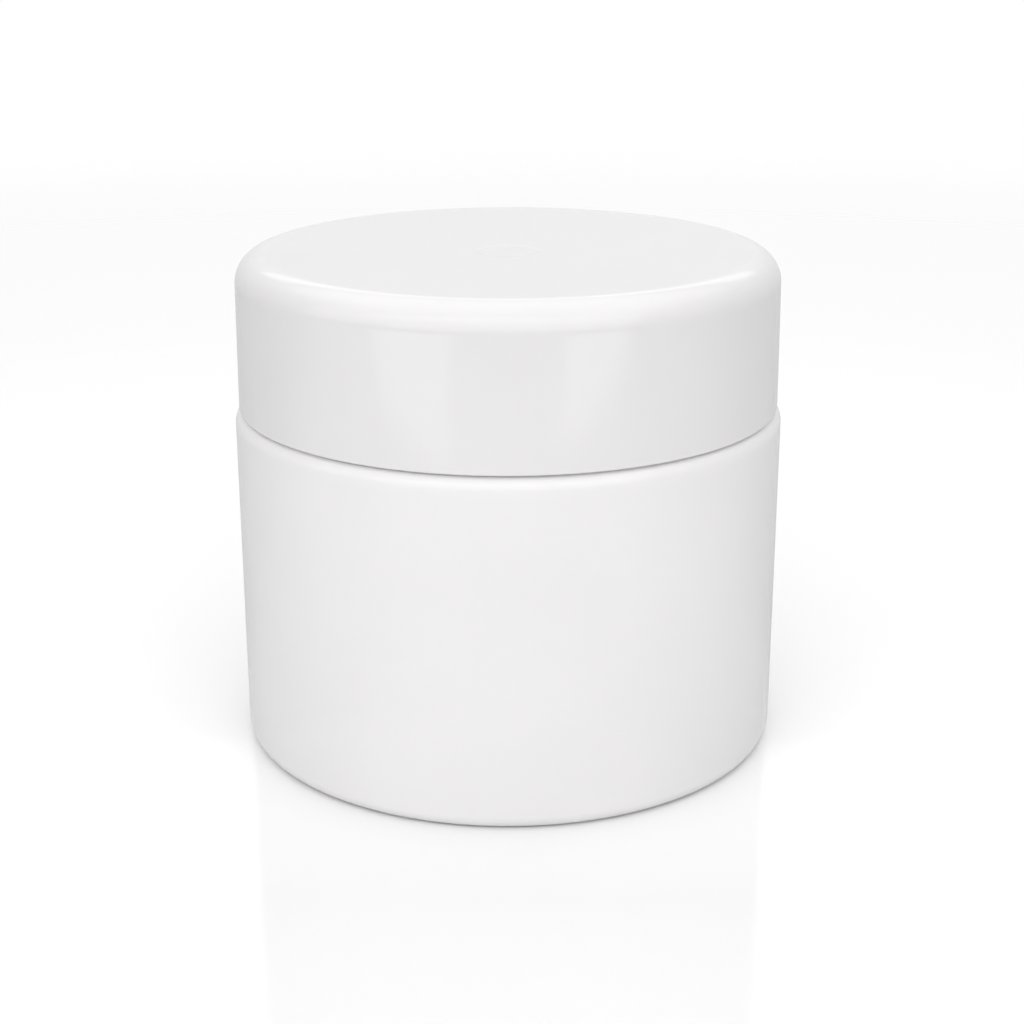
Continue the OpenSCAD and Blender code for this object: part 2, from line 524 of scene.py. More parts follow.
@dataclass(frozen=True)
class MouldedPlastic:
    """Finish of a white injection-moulded piece."""

    name: str
    colour: Triple = (0.808, 0.798, 0.8)
    tone: float = 0.95
    gloss: Pair = (0.075, 0.115)
    wave_scale: float = 55.0
    wave_um: float = 6.0
    grain_depth: float = 0.03
    scatter: float = 0.4
    scatter_mm: float = 1.2
    scatter_tint: Triple = (1.0, 0.95, 0.88)
    index: float = 1.49
    gate_ring_mm: float = 0.0
    ring_width_mm: float = 1.1
    ring_gloss: float = 0.03
    ring_depth: float = 0.3

    def material(self, groups: SurfaceGroups) -> Material:
        """Builds the finish.

        Args:
            groups: the shared node groups.

        Returns:
            A material that reads Object coordinates.
        """
        made, tree, shader = new_material(self.name)
        place = tree.nodes.new("ShaderNodeTexCoord").outputs["Object"]
        skin = tree.nodes.new("ShaderNodeGroup")
        skin.node_tree = groups.skin
        tree.links.new(place, skin.inputs["Vector"])
        preset(skin, {"Wave Scale": self.wave_scale, "Grain Depth": self.grain_depth})
        tree.links.new(
            mixed(tree, skin.outputs["Tone"], self.colour, tuple(c * self.tone for c in self.colour)),
            shader.inputs["Base Color"],
        )
        gloss = ranged(tree, skin.outputs["Gloss"], NOISE_SPAN, self.gloss)
        height = skin.outputs["Height"]
        if self.gate_ring_mm:
            ring = self._gate_ring(tree, place)
            gloss = maths(tree, "ADD", gloss, maths(tree, "MULTIPLY", ring, self.ring_gloss))
            height = maths(tree, "ADD", height, maths(tree, "MULTIPLY", ring, self.ring_depth))
        tree.links.new(gloss, shader.inputs["Roughness"])
        bumped(tree, height, self.wave_um)
        preset(shader, {"IOR": self.index, "Subsurface Weight": self.scatter})
        preset(shader, {"Subsurface Radius": self.scatter_tint, "Subsurface Scale": self.scatter_mm * MM})
        return made

    def _gate_ring(self, tree: Tree, place: Socket) -> Socket:
        """Adds the faint ring that the melt leaves round the moulding mark.

        Args:
            tree: the material's nodes.
            place: socket of the Object coordinates.

        Returns:
            A mask that is 1 on the ring.
        """
        split = tree.nodes.new("ShaderNodeSeparateXYZ")
        tree.links.new(place, split.inputs[0])
        across = maths(tree, "POWER", split.outputs["X"], 2.0)
        along = maths(tree, "POWER", split.outputs["Y"], 2.0)
        radius = maths(tree, "SQRT", maths(tree, "ADD", across, along), 0.0)
        off = maths(tree, "ABSOLUTE", maths(tree, "SUBTRACT", radius, self.gate_ring_mm * MM), 0.0)
        return ranged(tree, off, (0.0, self.ring_width_mm * MM), (1.0, 0.0))


@dataclass(frozen=True)
class FoamWad:
    """Finish of the closed-cell foam liner."""

    name: str
    colour: Triple = (0.83, 0.83, 0.81)
    tone: float = 0.94
    gloss: Pair = (0.5, 0.72)
    cell_scale: float = 1600.0
    depth_um: float = 90.0
    depth_share: float = 0.8
    scatter: float = 0.3
    scatter_mm: float = 1.0

    def material(self, groups: SurfaceGroups) -> Material:
        """Builds the finish.

        Args:
            groups: the shared node groups.

        Returns:
            A material that reads Object coordinates.
        """
        made, tree, shader = new_material(self.name)
        cells = tree.nodes.new("ShaderNodeGroup")
        cells.node_tree = groups.cells
        tree.links.new(tree.nodes.new("ShaderNodeTexCoord").outputs["Object"], cells.inputs["Vector"])
        cells.inputs["Cell Scale"].default_value = self.cell_scale
        tree.links.new(
            mixed(tree, cells.outputs["Tone"], self.colour, tuple(c * self.tone for c in self.colour)),
            shader.inputs["Base Color"],
        )
        tree.links.new(ranged(tree, cells.outputs["Tone"], (0.0, 1.0), self.gloss), shader.inputs["Roughness"])
        bumped(tree, cells.outputs["Height"], self.depth_um, self.depth_share)
        preset(shader, {"Subsurface Weight": self.scatter, "Subsurface Scale": self.scatter_mm * MM})
        return made


def new_material(name: str) -> tuple[Material, Tree, bpy.types.Node]:
    """Starts a node material.

    Args:
        name: the material's name.

    Returns:
        The material, its node tree and its Principled shader.
    """
    made = bpy.data.materials.new(name)
    made.use_nodes = True
    return made, made.node_tree, made.node_tree.nodes["Principled BSDF"]


def bumped(tree: Tree, height: Socket, microns: float, strength: float = 1.0) -> None:
    """Adds a bump node to a material's Principled shader.

    Args:
        tree: the material's nodes.
        height: socket of the height.
        microns: how high a height of 1 stands.
        strength: how much of the bump is kept.
    """
    bump = tree.nodes.new("ShaderNodeBump")
    preset(bump, {"Strength": strength, "Distance": microns * MICRON})
    tree.links.new(height, bump.inputs["Height"])
    tree.links.new(bump.outputs["Normal"], tree.nodes["Principled BSDF"].inputs["Normal"])


def ranged(tree: Tree, value: Socket, low_high: Pair, out: Pair) -> Socket:
    """Adds a node that maps one range of numbers onto another.

    Args:
        tree: the node tree.
        value: socket of the number.
        low_high: range that it comes in.
        out: range that it leaves in, in the same order.

    Returns:
        The result's socket.
    """
    node = tree.nodes.new("ShaderNodeMapRange")
    tree.links.new(value, node.inputs["Value"])
    node.inputs["From Min"].default_value, node.inputs["From Max"].default_value = low_high
    node.inputs["To Min"].default_value, node.inputs["To Max"].default_value = out
    return node.outputs["Result"]


def mixed(tree: Tree, mask: Socket, first: Triple, second: Triple) -> Socket:
    """Adds a node that mixes two colours by a mask.

    Args:
        tree: the node tree.
        mask: socket of a number from 0 to 1.
        first: colour where the mask is 0.
        second: colour where it is 1.

    Returns:
        The colour's socket.
    """
    node = tree.nodes.new("ShaderNodeMix")
    node.data_type = "RGBA"
    tree.links.new(mask, node.inputs["Factor"])
    preset(node, {"A": (*first, 1.0), "B": (*second, 1.0)})
    return node.outputs["Result"]


def dress(piece: Object, finish: Material, slot: str, body: str, *nodes: str) -> None:
    """Gives a piece its finish, hangs it under the empty of the body that it moves with and hides the CAD nodes
    that it replaces.

    Args:
        piece: the finished mesh.
        finish: its material.
        slot: not used.
        body: body that it moves with.
        nodes: CAD nodes that it replaces.
    """
    piece.data.materials.clear()
    piece.data.materials.append(finish)
    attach(piece, body)
    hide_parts(*nodes)
    LOG.info("%s: %d faces", piece.name, len(piece.data.polygons))


@dataclass
class Ridge:
    """One thread ridge: a rounded trapezoid that climbs round a wall and rises out of it at both ends."""

    wall: float
    side: int
    begin: float
    end: float
    level: float
    height: float = 1.0 * MM
    root: float = 2.1 * MM
    crest: float = 1.2 * MM
    rise: float = 8.0 * MM
    sunk: float = 0.45 * MM
    rounding: float = 0.2 * MM
    round_in: float = 0.3
    round_up: float = 0.2
    end_sunk: float = 0.1 * MM
    step: float = 3.75
    run_out: float = 24.0

    def build(self, name: str) -> Object:
        """Builds the ridge.

        Args:
            name: name of the piece.

        Returns:
            A closed ridge that starts at the plan angle begin.
        """
        slope = (self.root - self.crest) / 2 / self.height
        z = self.level + self.rise * self.begin / 360
        back = self.wall - self.side * self.sunk
        front = self.wall + self.side * self.height
        near = front - self.side * self.rounding
        lip = front - self.side * self.rounding * self.round_in
        half, up = self.crest / 2, self.rounding * self.round_up
        pen = Pen(name, back, z - self.root / 2 - slope * self.sunk)
        pen.line(near, z - half - slope * self.rounding).line(lip, z - half + up)
        pen.line(front, z - half + self.rounding).line(front, z + half - self.rounding)
        pen.line(lip, z + half - up).line(near, z + half + slope * self.rounding)
        pen.line(back, z + self.root / 2 + slope * self.sunk)
        piece = pen.close().done()
        sweep = self.end - self.begin
        steps = round(sweep / self.step)
        shaped(
            piece, "SCREW", axis="Z", angle=math.radians(sweep), screw_offset=self.rise * sweep / 360,
            steps=steps, render_steps=steps, use_merge_vertices=False,
        )
        self._run_out(piece, sweep)
        piece.rotation_euler.z = math.radians(self.begin)
        take(piece)
        bpy.ops.object.transform_apply(location=False, rotation=True, scale=False)
        return piece

    def _run_out(self, piece: Object, sweep: float) -> None:
        """Closes both ends of the ridge and sinks them into the wall.

        Args:
            piece: the open ridge, which starts on the X axis.
            sweep: angle that it covers.
        """
        bpy.ops.object.mode_set(mode="EDIT")
        bpy.ops.mesh.select_all(action="SELECT")
        bpy.ops.mesh.fill_holes(sides=0)
        bpy.ops.mesh.normals_make_consistent(inside=False)
        rings = round(self.run_out / self.step)
        front = self.wall + self.side * self.height
        for ring in range(rings):
            share = ring / rings
            height = (self.height + self.end_sunk) * share - self.end_sunk
            shrink = (self.wall + self.side * height) / front
            for angle in (ring * self.step, sweep - ring * self.step):
                select_points(piece, lambda p, a=angle: self._on_crest(p, a))
                bpy.ops.transform.resize(value=(shrink, shrink, 1), center_override=(0, 0, 0))
        bpy.ops.object.mode_set(mode="OBJECT")

    def _on_crest(self, point: Vector, angle: float) -> bool:
        """Tells whether a point of the ridge stands out of the wall at an angle.

        Args:
            point: the point's place.
            angle: plan angle in degrees.

        Returns:
            True where it does.
        """
        off = math.degrees(math.atan2(point.y, point.x)) - angle
        out = self.side * (math.hypot(point.x, point.y) - self.wall)
        return abs((off + 180) % 360 - 180) < self.step / 4 and out > 0


def top(node: str) -> float:
    """Returns the height of the highest point of a CAD node."""
    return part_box(node)[1][2]


def foot(node: str) -> float:
    """Returns the height of the lowest point of a CAD node."""
    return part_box(node)[0][2]


def reach(node: str) -> float:
    """Returns the largest distance of a round CAD node from the axis."""
    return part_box(node)[1][0]


@dataclass
class JarBody:
    """Outer jar with its foot ring and shoulder, and the cup snapped into it with the thread on its neck."""

    finishes: dict[str, Material]
    radius: float = reach("outer_jar")
    height: float = top("outer_jar")
    shoulder: float = 1.6 * MM
    base: float = 1.6 * MM
    wall: float = 1.8 * MM
    ledge: float = 1.4 * MM
    foot_width: float = 2.6 * MM
    foot_recess: float = 0.8 * MM
    neck: float = 26.019 * MM
    neck_gap: float = 0.1 * MM
    neck_top: float = top("inner_cup")
    cup_foot: float = foot("inner_cup")
    cup_wall: float = 1.6 * MM
    cup_round: float = 9.0 * MM
    flange: float = reach("inner_cup")
    flange_thick: float = 1.2 * MM
    bead: float = 0.6 * MM
    bead_high: float = 0.8 * MM
    snug: float = 0.05 * MM
    thread_level: float = 41.45 * MM
    thread_end: float = 315.0

    def build(self) -> None:
        """Builds and dresses both pieces."""
        dress(self._outer(), self.finishes["jar"], "jar_shell", "jar", "outer_jar")
        dress(self._cup(), self.finishes["cup"], "cup", "jar", "inner_cup")

    def _outer(self) -> Object:
        """Returns the outer jar, turned from its half section."""
        edge, soft = 0.15 * MM, 0.4 * MM
        inner = self.radius - self.wall
        foot_in = self.radius - self.base - self.foot_width
        ledge_top = self.height - self.flange_thick
        ledge_foot = ledge_top - self.ledge
        mouth = self.flange + self.snug
        throat = self.neck + self.neck_gap
        floor = self.foot_recess + self.wall
        pen = Pen("outer_jar_shell", 0, self.foot_recess)
        pen.line(foot_in - 2 * edge, self.foot_recess).arc(foot_in - 2 * edge, self.foot_recess - 2 * edge, -90, 4)
        pen.line(foot_in, 2 * edge).arc(foot_in + 2 * edge, 2 * edge, 90, 4)
        pen.line(self.radius - self.base, 0).arc(self.radius - self.base, self.base, 90, 12)
        pen.line(self.radius, self.height - self.shoulder)
        pen.arc(self.radius - self.shoulder, self.height - self.shoulder, 90, 12)
        pen.line(mouth + edge, self.height).arc(mouth + edge, self.height - edge, 90, 4)
        pen.line(mouth, ledge_top).line(throat, ledge_top).line(throat, ledge_foot)
        pen.line(inner - soft, ledge_foot).arc(inner - soft, ledge_foot - soft, -90, 4)
        pen.line(inner, floor + self.base).arc(inner - self.base, floor + self.base, -90, 8)
        pen.line(0, floor)
        return finished(pen.turned())

    def _cup(self) -> Object:
        """Returns the cup with its neck, snap bead, flange and two thread ridges."""
        edge, soft = 0.15 * MM, 0.4 * MM
        outer_round = self.cup_round + self.cup_wall
        bore = self.neck - self.cup_wall
        ledge_top = self.height - self.flange_thick
        bead_z = ledge_top - self.ledge - self.snug - self.bead_high / 2
        bead_round = self.bead_high / 2
        pen = Pen("inner_cup_neck", 0, self.cup_foot)
        pen.line(self.neck - outer_round, self.cup_foot)
        pen.arc(self.neck - outer_round, self.cup_foot + outer_round, 90, 14)
        pen.line(self.neck, bead_z - bead_round).line(self.neck + self.bead - bead_round, bead_z - bead_round)
        pen.arc(self.neck + self.bead - bead_round, bead_z, 180, 8)
        pen.line(self.neck, bead_z + bead_round).line(self.neck, ledge_top).line(self.flange, ledge_top)
        pen.line(self.flange, self.height - edge).arc(self.flange - edge, self.height - edge, 90, 4)
        pen.line(self.neck + soft, self.height).arc(self.neck + soft, self.height + soft, -90, 6)
        pen.line(self.neck, self.neck_top - soft).arc(self.neck - soft, self.neck_top - soft, 90, 6)
        pen.line(bore + soft, self.neck_top).arc(bore + soft, self.neck_top - soft, 90, 6)
        pen.line(bore, self.cup_foot + outer_round)
        pen.arc(bore - self.cup_round, self.cup_foot + outer_round, -90, 14)
        pen.line(0, self.cup_foot + self.cup_wall)
        cup = pen.turned()
        ridge = Ridge(self.neck, side=1, begin=0.0, end=self.thread_end, level=self.thread_level)
        return finished(fused(cup, joined(ringed(ridge.build("neck_thread"), 2))))


@dataclass
class Seal:
    """Disc pressed into the neck under the lid, and the pull tab that folds up from it."""

    finishes: dict[str, Material]
    radius: float = reach("sealing_disc")
    disc_top: float = top("sealing_disc")
    plug_foot: float = foot("sealing_disc")
    plug: float = 24.319 * MM
    thick: float = 0.8 * MM
    recess: float = 1.9 * MM
    bar_length: float = 2.0 * MM
    tab_box: tuple[Vector, Vector] = field(default_factory=lambda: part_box("pull_tab"))
    tab_thick: float = 0.8 * MM
    ridges: int = 3
    ridge_gap: float = 1.8 * MM
    ridge_high: float = 0.2 * MM
    web: float = 0.26 * MM
    web_inset: float = 0.6 * MM
    hinge_gap: float = 0.1 * MM

    def build(self) -> None:
        """Builds and dresses the disc and its tab."""
        dress(self._disc(), self.finishes["disc"], "disc", "disc", "sealing_disc")
        dress(self._tab(), self.finishes["tab"], "disc", "tab", "pull_tab")

    def _disc(self) -> Object:
        """Returns the disc with its plug, the bar that carries the tab and the thin web between them."""
        soft, rim = 0.3 * MM, self.thick / 3
        inner = self.plug - self.thick
        plate_top = self.disc_top - self.recess
        plate_foot = plate_top - self.thick
        flange_foot = self.disc_top - self.thick
        pen = Pen("sealing_disc_plug", 0, plate_foot)
        pen.line(inner - soft, plate_foot).arc(inner - soft, plate_foot - soft, -90, 4)
        pen.line(inner, self.plug_foot + soft / 2).arc(inner + soft / 2, self.plug_foot + soft / 2, 90, 4)
        pen.line(self.plug - soft, self.plug_foot).arc(self.plug - soft, self.plug_foot + soft, 90, 5)
        pen.line(self.plug, flange_foot - soft / 2).arc(self.plug + soft / 2, flange_foot - soft / 2, -90, 3)
        pen.line(self.radius - rim, flange_foot).arc(self.radius - rim, flange_foot + rim, 90, 5)
        pen.line(self.radius, self.disc_top - rim).arc(self.radius - rim, self.disc_top - rim, 90, 5)
        pen.line(inner + soft, self.disc_top).arc(inner + soft, self.disc_top - soft, 90, 5)
        pen.line(inner, plate_top + soft).arc(inner - soft, plate_top + soft, -90, 4)
        pen.line(0, plate_top)
        disc = pen.turned()
        low, high = self.tab_box
        hinge_z = low[2] + self.tab_thick / 2
        gap = self.hinge_gap
        bar = softened(
            block(
                "tab_bar",
                (low[0], low[1] - gap - self.bar_length, plate_top - soft),
                (high[0], low[1] - gap, low[2] + self.tab_thick),
            ),
            0.15 * MM,
        )
        web = block(
            "tab_web",
            (low[0] + self.web_inset, low[1] - gap - self.bar_length / 2, hinge_z - self.web / 2),
            (high[0] - self.web_inset, low[1] + self.tab_thick / 6, hinge_z + self.web / 2),
        )
        return finished(fused(disc, bar, web))

    def _tab(self) -> Object:
        """Returns the pull tab with a rounded root, a round tip and its grip ridges."""
        low, high = self.tab_box
        tip = high[0]
        tip_y = high[1] - tip
        pen = Pen("pull_tab_leaf", low[0], low[1], Plane.PLAN, low[2])
        pen.line(high[0], low[1]).line(high[0], tip_y).arc(0, tip_y, 180, 28).close()
        leaf = pen.raised(self.tab_thick)
        edit(leaf, lambda e: abs(e.y - low[1]) < WELD)
        bpy.ops.mesh.bevel(offset=self.tab_thick / 2 - 2 * WELD, segments=6, affect="EDGES", clamp_overlap=False)
        bpy.ops.object.mode_set(mode="OBJECT")
        ridge = softened(
            block(
                "tab_ridge",
                (-tip / 2, tip_y - self.ridge_gap / 2, low[2] + self.tab_thick / 2),
                (tip / 2, tip_y - self.ridge_gap / 6, high[2]),
            ),
            0.12 * MM,
        )
        rows = [ridge]
        for place in range(1, self.ridges):
            twin = twin_of(ridge)
            twin.location.y = place * self.ridge_gap
            take(twin)
            bpy.ops.object.transform_apply(location=True, rotation=False, scale=False)
            rows.append(twin)
        leaf = softened(leaf, 0.14 * MM, 70)
        return finished(fused(leaf, joined(rows)))


@dataclass
class ScrewLid:
    """Lid shell with its threaded insert snapped inside, and the foam liner under the insert's top."""

    finishes: dict[str, Material]
    base: float = foot("lid_shell")
    rim_drop: float = 0.06 * MM
    radius: float = 30.55 * MM
    height: float = 17.25 * MM
    draft: float = 0.6
    top_round: float = 3.2 * MM
    edge_round: float = 0.25 * MM
    dish: float = 0.4 * MM
    dish_steps: int = 24
    mark_steps: int = 8
    mark: float = 3.5 * MM
    mark_depth: float = 0.045 * MM
    mark_slope: float = 1.0 * MM
    wall: float = 1.2 * MM
    top_thick: float = 1.4 * MM
    groove: float = 0.25 * MM
    rib: float = 0.8 * MM
    top_ribs: int = 8
    ring_shares: Pair = (0.8, 0.4)
    insert_ribs: int = 24
    rib_sunk: float = 0.3 * MM
    insert_radius: float = 28.419 * MM
    insert_wall: float = 1.1 * MM
    insert_flange: float = reach("lid_insert")
    insert_foot: float = foot("lid_insert")
    insert_top: float = top("lid_insert")
    snug: float = 0.05 * MM
    thread_level: float = 39.685 * MM
    thread_begin: float = 81.7
    thread_end: float = 314.2
    liner_radius: float = reach("lid_liner")
    liner_foot: float = foot("lid_liner")
    liner_top: float = top("lid_liner")
    rim_print: Pair = (24.3 * MM, 25.75 * MM)
    rim_print_depth: float = 0.1 * MM
    rim_print_slant: float = 0.25 * MM

    def build(self) -> None:
        """Builds and dresses the shell, the insert and the liner."""
        dress(self._shell(), self.finishes["lid"], "lid_shell", "lid", "lid_shell")
        dress(self._insert(), self.finishes["insert"], "insert", "lid", "lid_insert")
        dress(self._liner(), self.finishes["liner"], "liner", "liner", "lid_liner")

    @property
    def inside(self) -> float:
        """Radius of the shell's inner wall."""
        return self.radius - self.height * math.tan(math.radians(self.draft)) - self.wall

    @property
    def ceiling(self) -> float:
        """Height of the shell's inner top."""
        return self.base + self.height - self.dish - self.top_thick

    def _round_at(self, size: float, z: float) -> float:
        """Places the centre of an edge round that touches the drafted wall.

        Args:
            size: radius of the round.
            z: height of its centre.

        Returns:
            The centre's distance from the axis.
        """
        lean = math.radians(self.draft)
        wall = self.radius * math.cos(lean) + self.base * math.sin(lean)
        return (wall - size - z * math.sin(lean)) / math.cos(lean)

    def _shell(self) -> Object:
        """Returns the lid shell with its dished top, moulding mark and inner ribs."""
        crown = self.base + self.height
        round_z = crown - self.top_round
        round_x = self._round_at(self.top_round, round_z)
        tilt = math.atan(2 * self.dish / round_x)
        rim_x = round_x - self.top_round * math.sin(tilt)
        rim_z = round_z + self.top_round * math.cos(tilt)
        low_z = crown - self.dish
        step = 0.15 * MM
        pen = Pen("lid_shell_cap", 0, low_z - self.mark_depth)
        slope_in = self.mark - self.mark_slope / 2
        for place in range(self.mark_steps + 1):
            share = place / self.mark_steps
            x = slope_in + self.mark_slope * share
            rise = 0.5 - 0.5 * math.cos(math.pi * share)
            pen.line(x, low_z - self.mark_depth * (1 - rise) + (rim_z - low_z) * (x / rim_x) ** 2)
        for place in range(1, self.dish_steps + 1):
            x = slope_in + self.mark_slope + (rim_x - slope_in - self.mark_slope) * place / self.dish_steps
            pen.line(x, low_z + (rim_z - low_z) * (x / rim_x) ** 2)
        pen.arc(round_x, round_z, -(90 + math.degrees(tilt) - self.draft), 18)
        rim = self.base - self.rim_drop
        edge_z = rim + self.edge_round
        edge_x = self._round_at(self.edge_round, edge_z)
        lean = math.radians(self.draft)
        pen.line(edge_x + self.edge_round * math.cos(lean), edge_z + self.edge_round * math.sin(lean))
        pen.arc(edge_x, edge_z, -(90 + self.draft), 5)
        inner_round = self.top_round - self.wall
        pen.line(self.inside + step, rim).arc(self.inside + step, rim + step, -90, 3)
        groove_low, groove_high = self.insert_foot - self.snug, self.insert_foot + self.insert_wall + self.snug
        pen.line(self.inside, groove_low).line(self.inside + self.groove, groove_low)
        pen.line(self.inside + self.groove, groove_high).line(self.inside, groove_high)
        pen.line(self.inside, self.ceiling - inner_round)
        pen.arc(self.inside - inner_round, self.ceiling - inner_round, 90, 8)
        outer_ring, inner_ring = (self.inside * share for share in self.ring_shares)
        for ring in (outer_ring, inner_ring):
            pen.line(ring + self.rib / 2, self.ceiling).line(ring + self.rib / 2, self.insert_top)
            pen.line(ring - self.rib / 2, self.insert_top).line(ring - self.rib / 2, self.ceiling)
        pen.line(0, self.ceiling)
        shell = pen.turned()
        spoke = block(
            "top_rib",
            (inner_ring, -self.rib / 2, self.insert_top + self.snug),
            (outer_ring, self.rib / 2, self.ceiling + self.rib / 2),
        )
        return finished(fused(shell, joined(ringed(spoke, self.top_ribs))))

    def _insert(self) -> Object:
        """Returns the threaded insert with its snap flange and the ribs round its wall."""
        edge, soft = 0.2 * MM, 0.4 * MM
        bore = self.insert_radius - self.insert_wall
        roof = self.insert_top - self.insert_wall
        flange_top = self.insert_foot + self.insert_wall
        pen = Pen("lid_insert_cap", 0, roof)
        pen.line(bore - soft, roof).arc(bore - soft, roof - soft, -90, 5)
        pen.line(bore, self.insert_foot + edge).arc(bore + edge, self.insert_foot + edge, 90, 4)
        pen.line(self.insert_flange - edge, self.insert_foot)
        pen.arc(self.insert_flange - edge, self.insert_foot + edge, 90, 4)
        pen.line(self.insert_flange, flange_top - edge).arc(self.insert_flange - edge, flange_top - edge, 90, 4)
        pen.line(self.insert_radius, flange_top).line(self.insert_radius, self.insert_top - soft)
        pen.arc(self.insert_radius - soft, self.insert_top - soft, 90, 6).line(0, self.insert_top)
        insert = pen.turned()
        ridge = Ridge(bore, side=-1, begin=self.thread_begin, end=self.thread_end, level=self.thread_level)
        rib = block(
            "insert_rib",
            (self.insert_radius - self.rib_sunk, -self.rib / 2, self.insert_foot + self.insert_wall / 2),
            (self.inside - self.snug, self.rib / 2, roof - self.insert_wall / 2),
        )
        threads = joined(ringed(ridge.build("lid_thread"), 2))
        return finished(fused(insert, threads, joined(ringed(rib, self.insert_ribs))))

    def _liner(self) -> Object:
        """Returns the foam liner with the ring that the rim below has pressed into it."""
        edge = (self.liner_top - self.liner_foot) / 6
        sink = self.liner_foot + self.rim_print_depth
        print_in, print_out = self.rim_print
        slant = self.rim_print_slant
        pen = Pen("lid_liner_foam", 0, self.liner_foot)
        pen.line(print_in - slant, self.liner_foot).line(print_in, sink).line(print_out, sink)
        pen.line(print_out + slant, self.liner_foot).line(self.liner_radius - edge, self.liner_foot)
        pen.arc(self.liner_radius - edge, self.liner_foot + edge, 90, 5)
        pen.line(self.liner_radius, self.liner_top - edge)
        pen.arc(self.liner_radius - edge, self.liner_top - edge, 90, 5).line(0, self.liner_top)
        return finished(pen.turned())


@dataclass
class SoftPanel:
    """One soft light panel: where it stands, where it looks, its size and the brightness of its face."""

    name: str
    place: Triple
    aim: Triple
    width: float
    height: float
    brightness: float

    def build(self) -> None:
        """Adds the panel as an area light that the camera doesn't see."""
        clear_selection()
        bpy.ops.object.light_add(type="AREA", location=self.place)
        lamp = bpy.context.object
        lamp.name = self.name
        lamp.data.shape = "RECTANGLE"
        lamp.data.size, lamp.data.size_y = self.width, self.height
        lamp.data.energy = self.brightness * math.pi * self.width * self.height
        lamp.rotation_euler = (Vector(self.aim) - Vector(self.place)).to_track_quat("-Z", "Y").to_euler()
        lamp.visible_camera = False


@dataclass(frozen=True)
class FloorCard:
    """One thin glowing card that lies on the floor before the jar, which the lid mirrors as a soft patch."""

    name: str
    outline: tuple[Pair, ...]
    brightness: float
    thickness: float = 0.5 * MM
    proud: float = 0.05 * MM

    def build(self) -> None:
        """Adds the card, let into the floor, which only reflections show and only from above."""
        pen = Pen(self.name, *self.outline[0], Plane.PLAN, self.proud - self.thickness)
        for corner in self.outline[1:]:
            pen.line(*corner)
        card = pen.close().raised(self.thickness)
        made, tree, shader = new_material(self.name)
        behind = tree.nodes.new("ShaderNodeNewGeometry").outputs["Backfacing"]
        tree.links.new(maths(tree, "SUBTRACT", 1.0, behind), shader.inputs["Alpha"])
        preset(shader, {"Base Color": (0, 0, 0, 1), "Emission Color": (1, 1, 1, 1)})
        preset(shader, {"Emission Strength": self.brightness})
        card.data.materials.append(made)
        card.visible_camera = False
        card.visible_diffuse = False
        card.visible_shadow = False


@dataclass(frozen=True)
class Surround:
    """Brightness of the studio round the jar, seen from it in five directions."""

    front: float = 0.46
    back: float = 0.82
    left: float = 0.3
    right: float = 0.32
    up: float = 0.63

    def build(self) -> None:
        """Makes the world: white to the camera, and a soft grey room to everything else."""
        world = bpy.data.worlds.new("studio_surround")
        bpy.context.scene.world = world
        world.use_nodes = True
        tree = world.node_tree
        split = tree.nodes.new("ShaderNodeSeparateXYZ")
        tree.links.new(tree.nodes.new("ShaderNodeTexCoord").outputs["Generated"], split.inputs[0])
        total: Socket | float = 0.0
        for axis, sign, amount in (
            ("Y", -1.0, self.front), ("Y", 1.0, self.back), ("X", -1.0, self.left),
            ("X", 1.0, self.right), ("Z", 1.0, self.up),
        ):
            facing = maths(tree, "MAXIMUM", maths(tree, "MULTIPLY", split.outputs[axis], sign), 0.0)
            share = maths(tree, "MULTIPLY", maths(tree, "MULTIPLY", facing, facing), amount)
            total = maths(tree, "ADD", share, total)
        path = tree.nodes.new("ShaderNodeLightPath")
        strength = tree.nodes.new("ShaderNodeMix")
        tree.links.new(path.outputs["Is Camera Ray"], strength.inputs["Factor"])
        tree.links.new(total, strength.inputs["A"])
        strength.inputs["B"].default_value = 1.0
        background = tree.nodes["Background"]
        background.inputs["Color"].default_value = (1, 1, 1, 1)
        tree.links.new(strength.outputs["Result"], background.inputs["Strength"])


